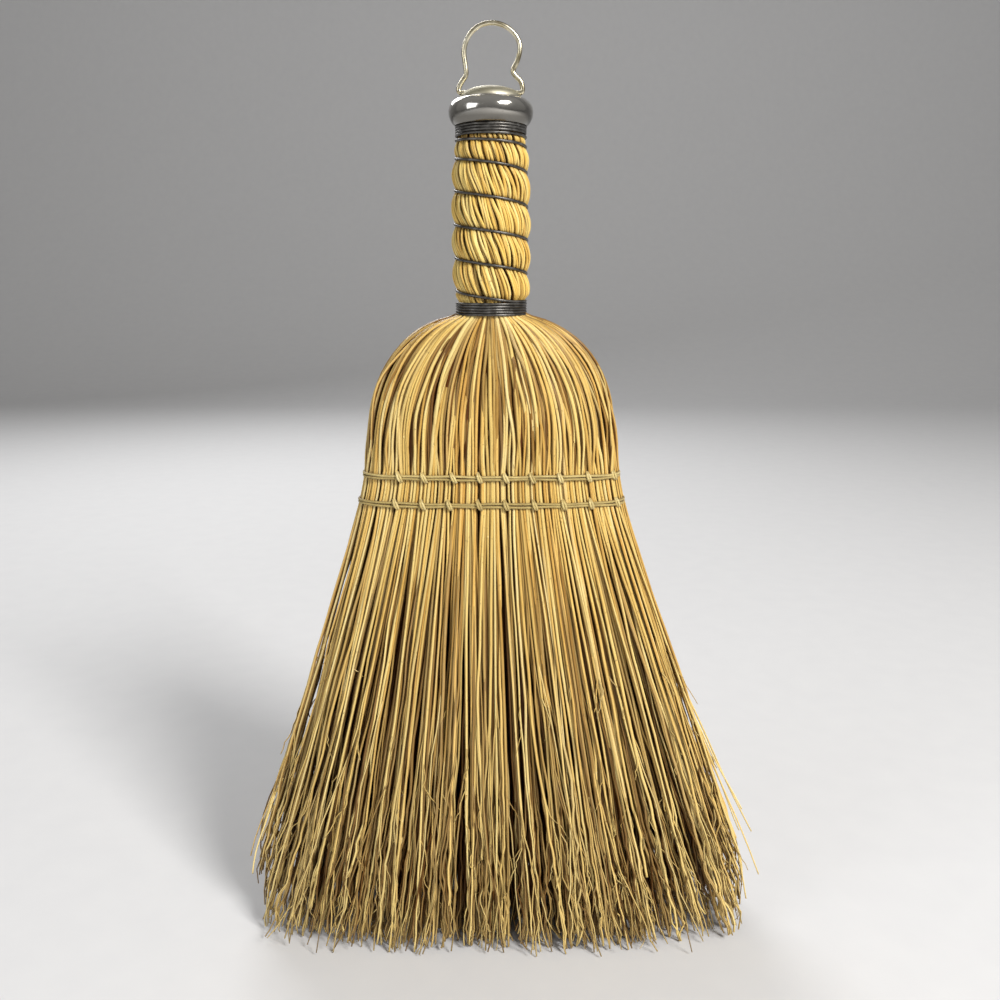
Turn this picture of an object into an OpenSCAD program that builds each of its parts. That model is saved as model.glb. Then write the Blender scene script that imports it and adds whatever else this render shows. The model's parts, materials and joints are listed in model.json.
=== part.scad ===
// Hand whisk broom of bound broomcorn: a wire-wrapped straw handle under a spun metal end cap
// with a hinged hanging loop, and a flat brush that is stitched through with two rows of twine.
// Millimetres. +Z runs up the handle, the wide face looks along -Y, and the origin is the middle
// of the trimmed straw tips that the broom stands on.

/* [Brush] */
// Half width of the brush between the shoulders and the stitching
brush_half_w = 43.4; // [40:0.2:47]
// How fast the half width grows below the stitching, in mm for each mm of height
flare = 0.335; // [0.26:0.005:0.4]
// Half thickness of the brush at the stitching
brush_half_t = 11.2; // [10:0.2:13]
// Half thickness of the brush at the tips
tip_half_t = 24.2; // [18:0.2:28]
// Height of the middle of the shoulders' top, just under the lower wire band
shoulder_z = 229.5; // [228.5:0.25:229.5]
// Squareness of the shoulders: 2 is an ellipse, and more is squarer
shoulder_power = 2.6; // [2.2:0.1:3]

/* [Handle] */
// Radius of the wire's centreline in the lower band
low_band_r = 11.7; // [11.5:0.1:12]
// Radius of the wire's centreline in the upper band
top_band_r = 11.4; // [11.3:0.1:11.7]
// Radius of the wire's centreline half way up the handle
mid_wrap_r = 12.1; // [11.7:0.1:12.4]
// How far the straw swells out between two turns of the wire
straw_swell = 1.6; // [0.8:0.1:1.8]

/* [Wire and twine] */
// Diameter of the binding wire
wire_d = 0.86; // [0.7:0.02:0.88]
// Distance between two turns of the wire down the open part of the handle
wrap_pitch = 10.8; // [10:0.2:12]
// Diameter of one strand of the stitching twine
twine_d = 0.8; // [0.6:0.05:0.9]
// Height of the upper row of stitching
upper_row_z = 174.5; // [173:0.5:176]
// Height of the lower row of stitching
lower_row_z = 165; // [164:0.5:166]

/* [Cap and loop] */
// Greatest radius of the cap's rolled bead
bead_r = 13.9; // [13.5:0.1:14.5]
// Thickness of the cap's sheet metal
cap_wall = 0.5; // [0.4:0.05:0.6]
// Diameter of the hanging loop's wire
loop_d = 1.6; // [1.3:0.05:1.6]
// Radius of the hanging loop's round head, to the middle of its wire
loop_r = 9; // [8.5:0.1:9.5]
// Half the width of the hanging loop's waist, to the middle of its wire
waist_x = 7.7; // [7.5:0.1:8]

/* [Hidden] */
TUFTS = 7;

straw = "goldenrod";
stalk = "darkgoldenrod";
twine = "tan";
dark_wire = [0.22, 0.2, 0.19];
worn_nickel = [0.72, 0.7, 0.64];
loop_metal = [0.76, 0.71, 0.55];

// The gap that keeps one bunch of straw a solid of its own.
bunch_gap = 0.3;

// ---- Binding wire: one left-handed winding, from the upper band down to the lower band ----
band_pitch = 0.88;
top_band_turns = 3.54;
low_band_turns = 5.5;
top_band_z = 289.87;
wrap_top_z = top_band_z - top_band_turns * band_pitch;
wrap_low_z = 234;
// The turns open out from the band's pitch to the full pitch over this many turns.
ramp_turns = 2;
ramp_drop = ramp_turns * (wrap_pitch + band_pitch) / 2;
wrap_turns = ramp_turns + (wrap_top_z - wrap_low_z - ramp_drop) / wrap_pitch;
wire_turns = top_band_turns + wrap_turns + low_band_turns;
wire_steps = 28;
wire_sides = 6;

// How far the open winding has dropped after a number of turns, and the inverse of that.
function drop_at(turns) = turns < ramp_turns
    ? band_pitch * turns + (wrap_pitch - band_pitch) * turns * turns / (2 * ramp_turns)
    : ramp_drop + wrap_pitch * (turns - ramp_turns);
function turns_at(drop) = drop < ramp_drop
    ? let (a = (wrap_pitch - band_pitch) / (2 * ramp_turns))
        (sqrt(band_pitch * band_pitch + 4 * a * drop) - band_pitch) / (2 * a)
    : ramp_turns + (drop - ramp_drop) / wrap_pitch;
function wire_z(turns) =
    turns < top_band_turns ? top_band_z - band_pitch * turns
    : turns < top_band_turns + wrap_turns ? wrap_top_z - drop_at(turns - top_band_turns)
    : wrap_low_z - band_pitch * (turns - top_band_turns - wrap_turns);
// Radius of the wire's centreline: the two bands, with a low arch between them.
function wire_r(z) = let (s = min(1, max(0, (z - wrap_low_z) / (wrap_top_z - wrap_low_z))),
        chord = low_band_r + (top_band_r - low_band_r) * s)
    chord + (mid_wrap_r - (low_band_r + top_band_r) / 2) * 4 * s * (1 - s);
function wire_point(turns) = let (a = 180 + 360 * turns, z = wire_z(turns), r = wire_r(z))
    [r * cos(a), r * sin(a), z];

// ---- Brush outline: half width, half thickness and the squareness of the plan at a height ----
row_soft = 6;
flare_z = 172;
neck_r = 10.9;
bunch_top_z = 231.6;
corner_h = 40;
corner_in = 14;
function clamp01(v) = min(1, max(0, v));
function shoulder_w(z) = let (q = clamp01((z - flare_z) / (shoulder_z - flare_z)))
    pow(1 - pow(q, shoulder_power), 1 / shoulder_power);
function half_w(z) = z > shoulder_z ? neck_r
    : max(neck_r, (brush_half_w + flare * row_soft * ln(1 + exp((flare_z - z) / row_soft)))
        * shoulder_w(z) - corner_in * pow(clamp01(1 - z / corner_h), 2));
function half_t(z) = z > flare_z
    ? let (q = clamp01((z - flare_z) / (shoulder_z - flare_z)))
        brush_half_t + (neck_r - brush_half_t) * q + 1.5 * sin(180 * q)
    : brush_half_t + (tip_half_t - brush_half_t) * pow((flare_z - z) / flare_z, 0.95);
function plan_power(z) = 2 + 0.8 * clamp01((shoulder_z - z) / 30) * clamp01((z + 60) / flare_z);
// Where the outline lies at the share u of the half width, from -1 at the left to 1 at the right.
function plan_y(u, z, deep) = half_t(z) * deep
    * pow(max(0, 1 - pow(abs(u), plan_power(z))), 1 / plan_power(z));
levels = [0, 12, 30, 55, 80, 105, 130, 150, 160, lower_row_z, (upper_row_z + lower_row_z) / 2,
    upper_row_z, 181, 189, 198, 206, 213, 218, 221.5, 224.5, 226.5, 228, 229, 230, bunch_top_z];

// ---- Stitching: where each stitch goes through, as a share of the half width ----
stitches = 9;
first_stitch = -0.72;
stitch_step = 0.21;
stitch_gap = 2.2;
stitch_reach = 3;
function stitch_u(i) = first_stitch + stitch_step * i;
// Half of the gap between two tufts at a height: it opens where the stitches go through.
function half_gap(z) = bunch_gap / 2 + stitch_gap / 2
    * (exp(-pow((z - upper_row_z) / stitch_reach, 2)) + exp(-pow((z - lower_row_z) / stitch_reach, 2)));
// The outer tufts are this share of the thickness, and the centre bunch fills the rest.
skin = 0.62;

// ---- Loft: one closed solid through rings that all have the same number of points. The rings
// run counterclockwise as seen along the way from the first ring to the last. ----
module loft(rings) {
    n = len(rings[0]);
    m = len(rings);
    points = [for (ring = rings) for (p = ring) p];
    walls = [for (k = [0:m - 2]) for (i = [0:n - 1])
        let (j = (i + 1) % n) each [[k * n + i, k * n + j, (k + 1) * n + j],
            [k * n + i, (k + 1) * n + j, (k + 1) * n + i]]];
    first = [for (i = [n - 1:-1:0]) i];
    last = [for (i = [0:n - 1]) (m - 1) * n + i];
    polyhedron(points, concat([first], walls, [last]), convexity = 8);
}

function unit(v) = v / norm(v);
// A ring of points about a path point, square to the path's direction and starting towards out.
function ring_at(p, dir, out, r, sides) = let (side = unit(cross(dir, out)), up = cross(side, dir))
    [for (k = [0:sides - 1]) p + r * (cos(360 * k / sides) * up + sin(360 * k / sides) * side)];
function direction_at(path, i) = unit(path[min(len(path) - 1, i + 1)] - path[max(0, i - 1)]);

// Wire swept along a winding round the Z axis.
module wound(path, r, sides)
    loft([for (i = [len(path) - 1:-1:0])
        ring_at(path[i], direction_at(path, i), unit([path[i].x, path[i].y, 0]), r, sides)]);

module binding_wire() {
    steps = ceil(wire_turns * wire_steps);
    color(dark_wire)
        wound([for (i = [0:steps]) wire_point(wire_turns * i / steps)], wire_d / 2, wire_sides);
}

core_r = 5;
tie_turns = 4;
tie_z = 246;
stalk_bore_r = core_r + wire_d + 0.1;
stalks_low_z = bunch_top_z + bunch_gap;
stalks_top_z = 297.6;

// The wire that binds the inner stalks before the outer straw is laid over them.
module core_tie_wire() {
    r = core_r + wire_d / 2 + 0.05;
    steps = tie_turns * 20;
    color(dark_wire)
        wound([for (i = [0:steps]) let (t = tie_turns * i / steps)
            [r * cos(360 * t), r * sin(360 * t), tie_z - band_pitch * t]], wire_d / 2, wire_sides);
}

module core_stalks()
    color(stalk) translate([0, 0, stalks_low_z])
        cylinder(r = core_r, h = stalks_top_z - stalks_low_z, $fn = 64);

// Surface of the outer stalks: a valley under each turn of the wire, swollen in between.
valley = 0.62;
cap_lip_z = 290.34;
function local_pitch(turns) = turns < ramp_turns
    ? band_pitch + (wrap_pitch - band_pitch) * turns / ramp_turns : wrap_pitch;
function stalk_r(a, z) =
    z > wrap_top_z ? wire_r(z) - valley - 0.2 * max(0, z - cap_lip_z)
    : z < wrap_low_z ? wire_r(z) - valley
    : let (t = turns_at(wrap_top_z - z), f = top_band_turns + t - (a - 180) / 360,
            edge = clamp01((z - wrap_low_z) / 2.5))
        wire_r(z) - valley + straw_swell * pow(local_pitch(t) / wrap_pitch, 1.5) * pow(sin(180 * f), 2) * edge;

module handle_stalks() {
    around = 36;
    low = [stalks_low_z, wrap_low_z];
    middle = [for (z = [wrap_low_z + 1.4:1.4:wrap_top_z]) z];
    top = [wrap_top_z + 0.8, cap_lip_z, stalks_top_z];
    color(straw) difference() {
        loft([for (z = concat(low, middle, top))
            [for (i = [around - 1:-1:0]) let (a = 360 * i / around, r = stalk_r(a, z))
                [r * cos(a), r * sin(a), z]]]);
        translate([0, 0, stalks_low_z - 1])
            cylinder(r = stalk_bore_r, h = stalks_top_z - stalks_low_z + 2, $fn = 64);
    }
}

// ---- Brush: a centre bunch, two shoulder bunches that close the ends, and the outer tufts ----
core_pts = 9;
module centre_bunch()
    color(stalk) loft([for (z = levels)
        let (w = half_w(z), a = first_stitch + bunch_gap / w, b = stitch_u(TUFTS) - bunch_gap / w,
            across = [for (i = [0:core_pts]) a + (b - a) * i / core_pts])
        concat(
            [for (u = across) [u * w, plan_y(u, z, skin) - bunch_gap / 2, z]],
            [for (u = backwards(across)) [u * w, bunch_gap / 2 - plan_y(u, z, skin), z]])]);

// The outer tuft number i on the front, and its twin on the back.
tuft_pts = 3;
module front_tuft(i)
    color(straw) loft([for (z = levels)
        let (w = half_w(z), a = stitch_u(i - 1) + half_gap(z) / w, b = stitch_u(i) - half_gap(z) / w)
        concat(
            [for (k = [0:tuft_pts]) let (u = a + (b - a) * k / tuft_pts)
                [u * w, -plan_y(u, z, skin) - bunch_gap / 2, z]],
            [for (k = [tuft_pts:-1:0]) let (u = a + (b - a) * k / tuft_pts)
                [u * w, -plan_y(u, z, 1), z]])]);
module back_tuft(i) mirror([0, 1, 0]) front_tuft(i);

// A shoulder bunch fills one end of the plan from the front face round to the back face.
end_pts = 7;
module shoulder_bunch(side, start)
    color(straw) loft([for (z = levels)
        let (w = half_w(z), a = start + half_gap(z) / w,
            back = [for (k = [0:end_pts]) let (u = a + (1 - a) * sin(90 * k / end_pts))
                [side * u * w, plan_y(u, z, 1), z]],
            front = [for (k = [end_pts - 1:-1:0]) let (u = a + (1 - a) * sin(90 * k / end_pts))
                [side * u * w, -plan_y(u, z, 1), z]],
            ring = concat(back, front))
        side > 0 ? ring : backwards(ring)]);

module left_shoulder_bunch() shoulder_bunch(-1, -first_stitch);
module right_shoulder_bunch() shoulder_bunch(1, stitch_u(TUFTS));

// ---- Stitching twine: two strands round the brush at a row, and loops through it ----
cord_clear = 0.12;
cord_out = twine_d / 2 + cord_clear;
cord_steps = 60;
cord_sides = 6;
function cord_path(z) = [for (i = [0:cord_steps - 1])
    let (a = 360 * i / cord_steps, c = cos(a), s = sin(a), e = 2 / plan_power(z))
    [sign(c) * pow(abs(c), e) * (half_w(z) + cord_out),
        sign(s) * pow(abs(s), e) * (half_t(z) + cord_out), z]];
// How far out a cord's middle lies at the share u of the brush's half width.
function cord_y(u, z) = let (w = half_w(z), n = plan_power(z))
    (half_t(z) + cord_out) * pow(1 - pow(abs(u) * w / (w + cord_out), n), 1 / n);

// A strand that closes on itself.
module closed_strand(path, r, sides) {
    n = len(path);
    rings = [for (i = [0:n - 1])
        let (dir = unit(path[(i + 1) % n] - path[(i + n - 1) % n]), out = cross(dir, [0, 0, 1]))
        [for (k = [0:sides - 1])
            path[i] + r * (cos(360 * k / sides) * out + sin(360 * k / sides) * [0, 0, 1])]];
    faces = [for (i = [0:n - 1]) for (k = [0:sides - 1])
        let (i2 = (i + 1) % n, k2 = (k + 1) % sides)
        each [[i * sides + k, i2 * sides + k2, i2 * sides + k],
            [i * sides + k, i * sides + k2, i2 * sides + k2]]];
    polyhedron([for (ring = rings) for (p = ring) p], faces, convexity = 8);
}

module stitch_cord(row_z)
    color(twine) for (side = [-1, 1])
        translate([0, 0, side * (twine_d / 2 + 0.02)])
            closed_strand(cord_path(row_z), twine_d / 2, cord_sides);

// One stitch: over both strands on the front and on the back, and through the brush twice.
stitch_r = twine_d * 1.5 + 0.15;
module stitch_loop(u, row_z) {
    depth = round(100 * cord_y(u, row_z)) / 100;
    translate([u * half_w(row_z), 0, row_z]) {
        for (side = [-1, 1]) {
            translate([0, side * depth, 0]) rotate([90, 0, 90]) rotate([0, 0, side > 0 ? -90 : 90])
                rotate_extrude(angle = 180, $fn = 48) translate([stitch_r, 0])
                    circle(d = twine_d, $fn = 16);
            translate([0, 0, side * stitch_r]) rotate([90, 0, 0])
                cylinder(d = twine_d, h = 2 * depth, center = true, $fn = 16);
        }
    }
}
module stitch_loops(row_z)
    color(twine) for (i = [0:stitches - 1]) stitch_loop(stitch_u(i), row_z);
module upper_stitch_cord() stitch_cord(upper_row_z);
module lower_stitch_cord() stitch_cord(lower_row_z);
module upper_stitches() stitch_loops(upper_row_z);
module lower_stitches() stitch_loops(lower_row_z);

// ---- End cap: a spun shell with a rolled bead under a low dome ----
bead_c = [10.4, 294.8];
bead_up = 3.8;
bead_down = 4.9;
dome_r = 10;
dome_h = 4;
// The dome's profile is a superellipse: 2 is an ellipse, and more is flatter on top.
dome_power = 2.2;
crease_z = bead_c[1] + bead_up;
pivot_z = 300.6;
pivot_clear = 0.05;
arc_steps = 14;
function bead_arc(inset, rise, a0, a1) = [for (i = [0:arc_steps]) let (a = a0 + (a1 - a0) * i / arc_steps)
    bead_c + [(bead_r - bead_c[0] - inset) * cos(a), (rise - inset) * sin(a)]];
function dome_arc(inset) = [for (i = [0:arc_steps]) let (a = 90 * i / arc_steps, e = 2 / dome_power)
    [(dome_r - inset) * pow(max(0, cos(a)), e), crease_z + (dome_h - inset) * pow(sin(a), e)]];
function backwards(list) = [for (i = [len(list) - 1:-1:0]) list[i]];
module end_cap() {
    lip = -asin((bead_c[1] - cap_lip_z) / bead_down);
    outer = concat(bead_arc(0, bead_down, lip, 0), bead_arc(0, bead_up, 0, 90), dome_arc(0));
    inner = concat(backwards(dome_arc(cap_wall)), [[dome_r - cap_wall, crease_z - cap_wall]],
        bead_arc(cap_wall, bead_up, 90, 0), bead_arc(cap_wall, bead_down, 0, lip));
    color(worn_nickel) difference() {
        rotate_extrude($fn = 128)
            polygon(concat(outer, inner));
        translate([0, 0, pivot_z]) rotate([0, 90, 0])
            cylinder(r = loop_d / 2 + pivot_clear, h = 2 * bead_r, center = true, $fn = 48);
    }
}

// ---- Hanging loop: a round head, a waist, and ends bent inwards as pivot pins ----
loop_z = 312.8;
waist_z = 307.2;
bend_r = 1;
bend_x = 9.6;
pin_in = 3.2;
pin_lap = 0.6;
loop_sides = 16;
waist_drop = loop_z - waist_z;
waist_r = (loop_r * loop_r - waist_x * waist_x - waist_drop * waist_drop) / (2 * (waist_x - loop_r));
waist_c = [waist_x + waist_r, waist_z];
bend_c = [bend_x, pivot_z + bend_r];
head_a = -atan2(waist_drop, waist_c[0]);
reach = norm(bend_c - waist_c);
leave_a = 360 + atan2(bend_c[1] - waist_c[1], bend_c[0] - waist_c[0]) - acos((waist_r + bend_r) / reach);
function loop_arc(c, r, a0, a1, steps) = [for (i = [0:steps]) let (a = a0 + (a1 - a0) * i / steps)
    [c[0] + r * cos(a), 0, c[1] + r * sin(a)]];

module pin(side)
    translate([side * (bend_x - pin_in / 2 - 0.05), 0, pivot_z]) rotate([0, 90, 0])
        cylinder(d = loop_d, h = pin_in, center = true, $fn = 64);

module hanging_loop() {
    // Half of the wire's route, from inside the right-hand pin up to the top of the head.
    half = concat([[bend_x - pin_lap, 0, pivot_z]], loop_arc(bend_c, bend_r, -90, leave_a - 180, 7),
        loop_arc(waist_c, waist_r, leave_a, 180 + head_a, 7), loop_arc([0, loop_z], loop_r, head_a, 82, 11));
    mirrored = [for (i = [len(half) - 1:-1:0]) [-half[i].x, 0, half[i].z]];
    route = concat(half, [[0, 0, loop_z + loop_r]], mirrored);
    last = len(route) - 1;
    color(loop_metal) union() {
        loft([for (i = [last:-1:0])
            ring_at(route[i], direction_at(route, i), [0, 1, 0],
                loop_d / 2 * (i == 0 || i == last ? 0.7 : 1), loop_sides)]);
        pin(1);
        pin(-1);
    }
}

hanging_loop();
end_cap();
binding_wire();
core_tie_wire();
core_stalks();
handle_stalks();
centre_bunch();
left_shoulder_bunch();
right_shoulder_bunch();
for (i = [1:TUFTS]) {
    front_tuft(i);
    back_tuft(i);
}
upper_stitch_cord();
upper_stitches();
lower_stitch_cord();
lower_stitches();
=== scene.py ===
import json
import math

import bmesh
import bpy
import numpy as np
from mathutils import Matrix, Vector


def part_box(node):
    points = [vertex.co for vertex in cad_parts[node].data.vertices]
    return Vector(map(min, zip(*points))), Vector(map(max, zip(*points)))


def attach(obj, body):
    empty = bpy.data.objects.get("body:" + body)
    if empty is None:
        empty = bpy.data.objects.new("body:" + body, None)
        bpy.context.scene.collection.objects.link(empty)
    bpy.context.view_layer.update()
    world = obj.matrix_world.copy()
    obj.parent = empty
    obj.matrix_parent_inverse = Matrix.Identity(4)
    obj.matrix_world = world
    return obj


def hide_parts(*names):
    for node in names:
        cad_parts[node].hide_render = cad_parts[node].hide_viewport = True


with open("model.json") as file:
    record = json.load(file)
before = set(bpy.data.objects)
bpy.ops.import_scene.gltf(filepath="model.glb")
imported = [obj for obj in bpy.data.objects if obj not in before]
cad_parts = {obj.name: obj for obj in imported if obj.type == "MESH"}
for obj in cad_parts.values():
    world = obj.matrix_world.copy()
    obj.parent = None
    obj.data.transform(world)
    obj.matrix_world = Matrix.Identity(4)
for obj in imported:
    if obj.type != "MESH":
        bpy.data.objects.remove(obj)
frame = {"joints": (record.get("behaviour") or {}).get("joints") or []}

# A hand whisk broom of broomcorn. Every straw, wire and strand of twine is a tube of its own.
# Lengths are in millimetres in the row frame, and turn into metres where a mesh is made.
MM = 0.001
TAU = 2 * math.pi
SEED = 20
rng = np.random.default_rng(SEED)
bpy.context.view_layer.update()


def box_mm(node):
    """A CAD node's lowest and highest corners in millimetres."""
    low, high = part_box(node)
    return np.array(low) / MM, np.array(high) / MM


def unit(value):
    return np.clip(value, 0, 1)


def bent(value, power):
    """A power that keeps the sign."""
    return np.sign(value) * np.abs(value) ** power


def middle_z(node):
    low, high = box_mm(node)
    return (low[2] + high[2]) / 2


def run_along(path):
    """How far along its path each point lies."""
    steps = np.linalg.norm(np.diff(path, axis=-2), axis=-1)
    return np.cumsum(np.insert(steps, 0, 0, axis=-1), axis=-1)


def evenly(path, steps):
    """A path's points at even steps along it, and how far along each lies."""
    run = run_along(path)
    even = np.linspace(0, run[-1], steps)
    return np.stack([np.interp(even, run, path[:, k]) for k in range(path.shape[1])], -1), even


# ---- the brush's outline
UPPER_Z = middle_z("upper_stitch_cord")
LOWER_Z = middle_z("lower_stitch_cord")
BUNCH_TOP = box_mm("front_tuft_4")[1][2]
NECK_R = 10.9
SHOULDER_Z = BUNCH_TOP - 2.1
SHOULDER_POWER = 2.6
# Below this height the brush flares, by FLARE a millimetre to each side.
FLARE_Z = 172.0
FLARE = 0.335
FLARE_SOFT = 6.0
# Half width and half thickness where the flare begins, and half thickness at the tips.
BRUSH_W = 43.4
BRUSH_T = 11.2
TIP_T = -box_mm("front_tuft_4")[0][1]
# Height of the round corners at the tips, and how far in they come.
CORNER_H = 40.0
CORNER_IN = 14.0
# How far the trimmed ends may stand out of the round corners.
CORNER_PROUD = 0.5
# The brush has been swept with, and its ends have set a little to one side.
SET_ASIDE = 3.2
# Straws of the inner part of the brush spread over this height below the neck.
SPREAD_H = 46.0


def shoulder_q(z):
    return unit((z - FLARE_Z) / (SHOULDER_Z - FLARE_Z))


def free_w(z):
    """Half width that the straws spread to, before their ends are trimmed to round corners."""
    soft = FLARE_SOFT * np.log1p(np.exp((FLARE_Z - z) / FLARE_SOFT))
    shoulder = (1 - shoulder_q(z) ** SHOULDER_POWER) ** (1 / SHOULDER_POWER)
    return np.maximum(NECK_R, (BRUSH_W + FLARE * soft) * shoulder)


def half_w(z):
    """Half width of the brush's outline at a height."""
    return np.maximum(NECK_R, free_w(z) - CORNER_IN * unit(1 - z / CORNER_H) ** 2)


def half_t(z):
    """Half thickness of the brush at a height."""
    q = shoulder_q(z)
    upper = BRUSH_T + (NECK_R - BRUSH_T) * q + 1.5 * np.sin(math.pi * q)
    lower = BRUSH_T + (TIP_T - BRUSH_T) * unit((FLARE_Z - z) / FLARE_Z) ** 0.95
    return np.where(z > FLARE_Z, upper, lower)


def plan_power(z):
    """Squareness of the brush's plan: 2 is an ellipse."""
    return 2 + 0.8 * unit((SHOULDER_Z - z) / 30) * unit((z + 60) / FLARE_Z)


# The stitches' places as shares of the half width. Seven tufts lie between the first eight.
STITCHES = 9
TUFTS = 7
FIRST_STITCH = -0.72
STITCH_STEP = 0.21
stitch_u = FIRST_STITCH + STITCH_STEP * np.arange(STITCHES)
# Straws further in than this share of the outline belong to the centre bunch.
SKIN = 0.62


def gap_at(z):
    """Width of the opening between two tufts at a height, widest where the stitches pull."""
    above = 1.0 * np.exp(-np.clip(z - UPPER_Z, 0, None) / 6)
    below = 1.2 * np.exp(-np.clip(LOWER_Z - z, 0, None) / 12)
    return np.where(z > UPPER_Z, above, np.where(z < LOWER_Z, below, 0.55))


def aside(z):
    """How far the brush has set sideways at a height."""
    return SET_ASIDE * unit((LOWER_Z - z) / LOWER_Z) ** 1.3


def held_in(path, reach):
    """Draws in what strays out of the brush's outline, so that it never gets further than reach."""
    z = path[..., 2]
    for axis, half, middle in ((0, half_w(z), aside(z)), (1, half_t(z), 0.0)):
        rel = path[..., axis] - middle
        over = np.clip(np.abs(rel) - half, 0, None)
        size = np.minimum(np.abs(rel), half) + over / (1 + over / reach)
        path[..., axis] = middle + np.sign(rel) * size
    return path


def outward(path):
    """The brush's outward direction at the points of a path."""
    z = path[..., 2]
    out = np.zeros_like(path)
    for axis, half in ((0, half_w(z)), (1, half_t(z))):
        rel = np.clip(path[..., axis] / half, -1, 1)
        out[..., axis] = bent(rel, plan_power(z) - 1) / half
    return out / (np.linalg.norm(out, axis=-1, keepdims=True) + 1e-9)


def polar(r, a, z):
    """Points at a radius, a plan angle and a height."""
    return np.stack(np.broadcast_arrays(r * np.cos(a), r * np.sin(a), z), -1)


def linked(name, data):
    """A new object in the scene for a mesh, light or camera."""
    obj = bpy.data.objects.new(name, data)
    bpy.context.scene.collection.objects.link(obj)
    return obj


def stand_for(piece, node, body="broom"):
    """Has a piece stand for a CAD node, whose part it hides, and ride on its body."""
    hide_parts(node)
    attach(piece, body)


# ---- tubes
class Tubes:
    """Collects tubes and makes them into one mesh with the attributes that the materials read."""

    def __init__(self):
        self.verts, self.quads, self.caps, self.marks, self.painted_shades = [], [], [], [], []
        self.count = 0

    def add(self, path, radius, sides, tint, painted_shade=0.0, ref=(0.0, 1.0, 0.0), side_shade=0.0,
            twist=None, lobes=0, depth=0.0):
        """path is (tubes, rings, 3), tint one number a tube, and radius, painted shade and side shade one
        number or (tubes, rings). Sides that don't face the way of ref get painted shade, by up to the side
        shade.
        A tube may swell by depth in so many lobes, which turn with twist."""
        n, m, _ = path.shape
        radius, painted_shade, most = (np.broadcast_to(v, (n, m)) for v in (radius, painted_shade, side_shade))
        tangent = np.gradient(path, axis=1)
        tangent /= np.linalg.norm(tangent, axis=2, keepdims=True) + 1e-12
        ref = np.broadcast_to(np.asarray(ref, float), path.shape)
        normal = ref - (ref * tangent).sum(2, keepdims=True) * tangent
        normal /= np.linalg.norm(normal, axis=2, keepdims=True) + 1e-12
        other = np.cross(tangent, normal)
        angle = TAU * np.arange(sides) / sides
        c, s = np.cos(angle), np.sin(angle)
        swell = 1.0
        if lobes:
            swell = (1 + depth * np.cos(lobes * (angle - twist[:, :, None])))[..., None]
        ring = c[:, None] * normal[:, :, None, :] + s[:, None] * other[:, :, None, :]
        points = path[:, :, None, :] + radius[:, :, None, None] * swell * ring
        start = self.count + (np.arange(n) * m * sides)[:, None, None]
        ring_start = start + (np.arange(m - 1) * sides)[None, :, None]
        a = ring_start + np.arange(sides)
        b = ring_start + (np.arange(sides) + 1) % sides
        self.quads.append(np.stack([a, b, b + sides, a + sides], -1).reshape(-1, 4))
        head = start[:, 0] + np.arange(sides)[::-1]
        tail = start[:, 0] + (m - 1) * sides + np.arange(sides)
        self.caps.append(np.concatenate([head, tail]).reshape(-1, sides))
        self.verts.append(points.reshape(-1, 3))
        mark = np.empty((n, m, sides, 4), np.float32)
        mark[..., 0] = np.asarray(tint)[:, None, None]
        mark[..., 1] = run_along(path)[:, :, None] / 100
        mark[..., 2] = c
        mark[..., 3] = s
        self.marks.append(mark.reshape(-1, 4))
        # The sides that turn away from ref get painted shade.
        turned = most[:, :, None] * unit((0.85 - c) / 0.75)
        self.painted_shades.append((1 - (1 - painted_shade[:, :, None]) * (1 - turned)).reshape(-1))
        self.count += n * m * sides
        return self

    def build(self, name, material):
        walls = np.concatenate(self.quads).tolist()
        ends = [face for caps in self.caps for face in caps.tolist()]
        mesh = bpy.data.meshes.new(name)
        mesh.from_pydata((np.concatenate(self.verts) * MM).tolist(), [], walls + ends)
        mesh.polygons.foreach_set("use_smooth", np.arange(len(walls) + len(ends)) < len(walls))
        mark = mesh.attributes.new("mark", "FLOAT_COLOR", "POINT")
        mark.data.foreach_set("color", np.concatenate(self.marks).reshape(-1))
        # The painted shade goes to the materials as a point attribute.
        painted_shade = mesh.attributes.new("painted_shade", "FLOAT", "POINT")
        painted_shade.data.foreach_set("value", np.concatenate(self.painted_shades).astype(np.float32))
        mesh.update()
        mesh.validate()
        mesh.materials.append(material)
        return linked(name, mesh)


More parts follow.
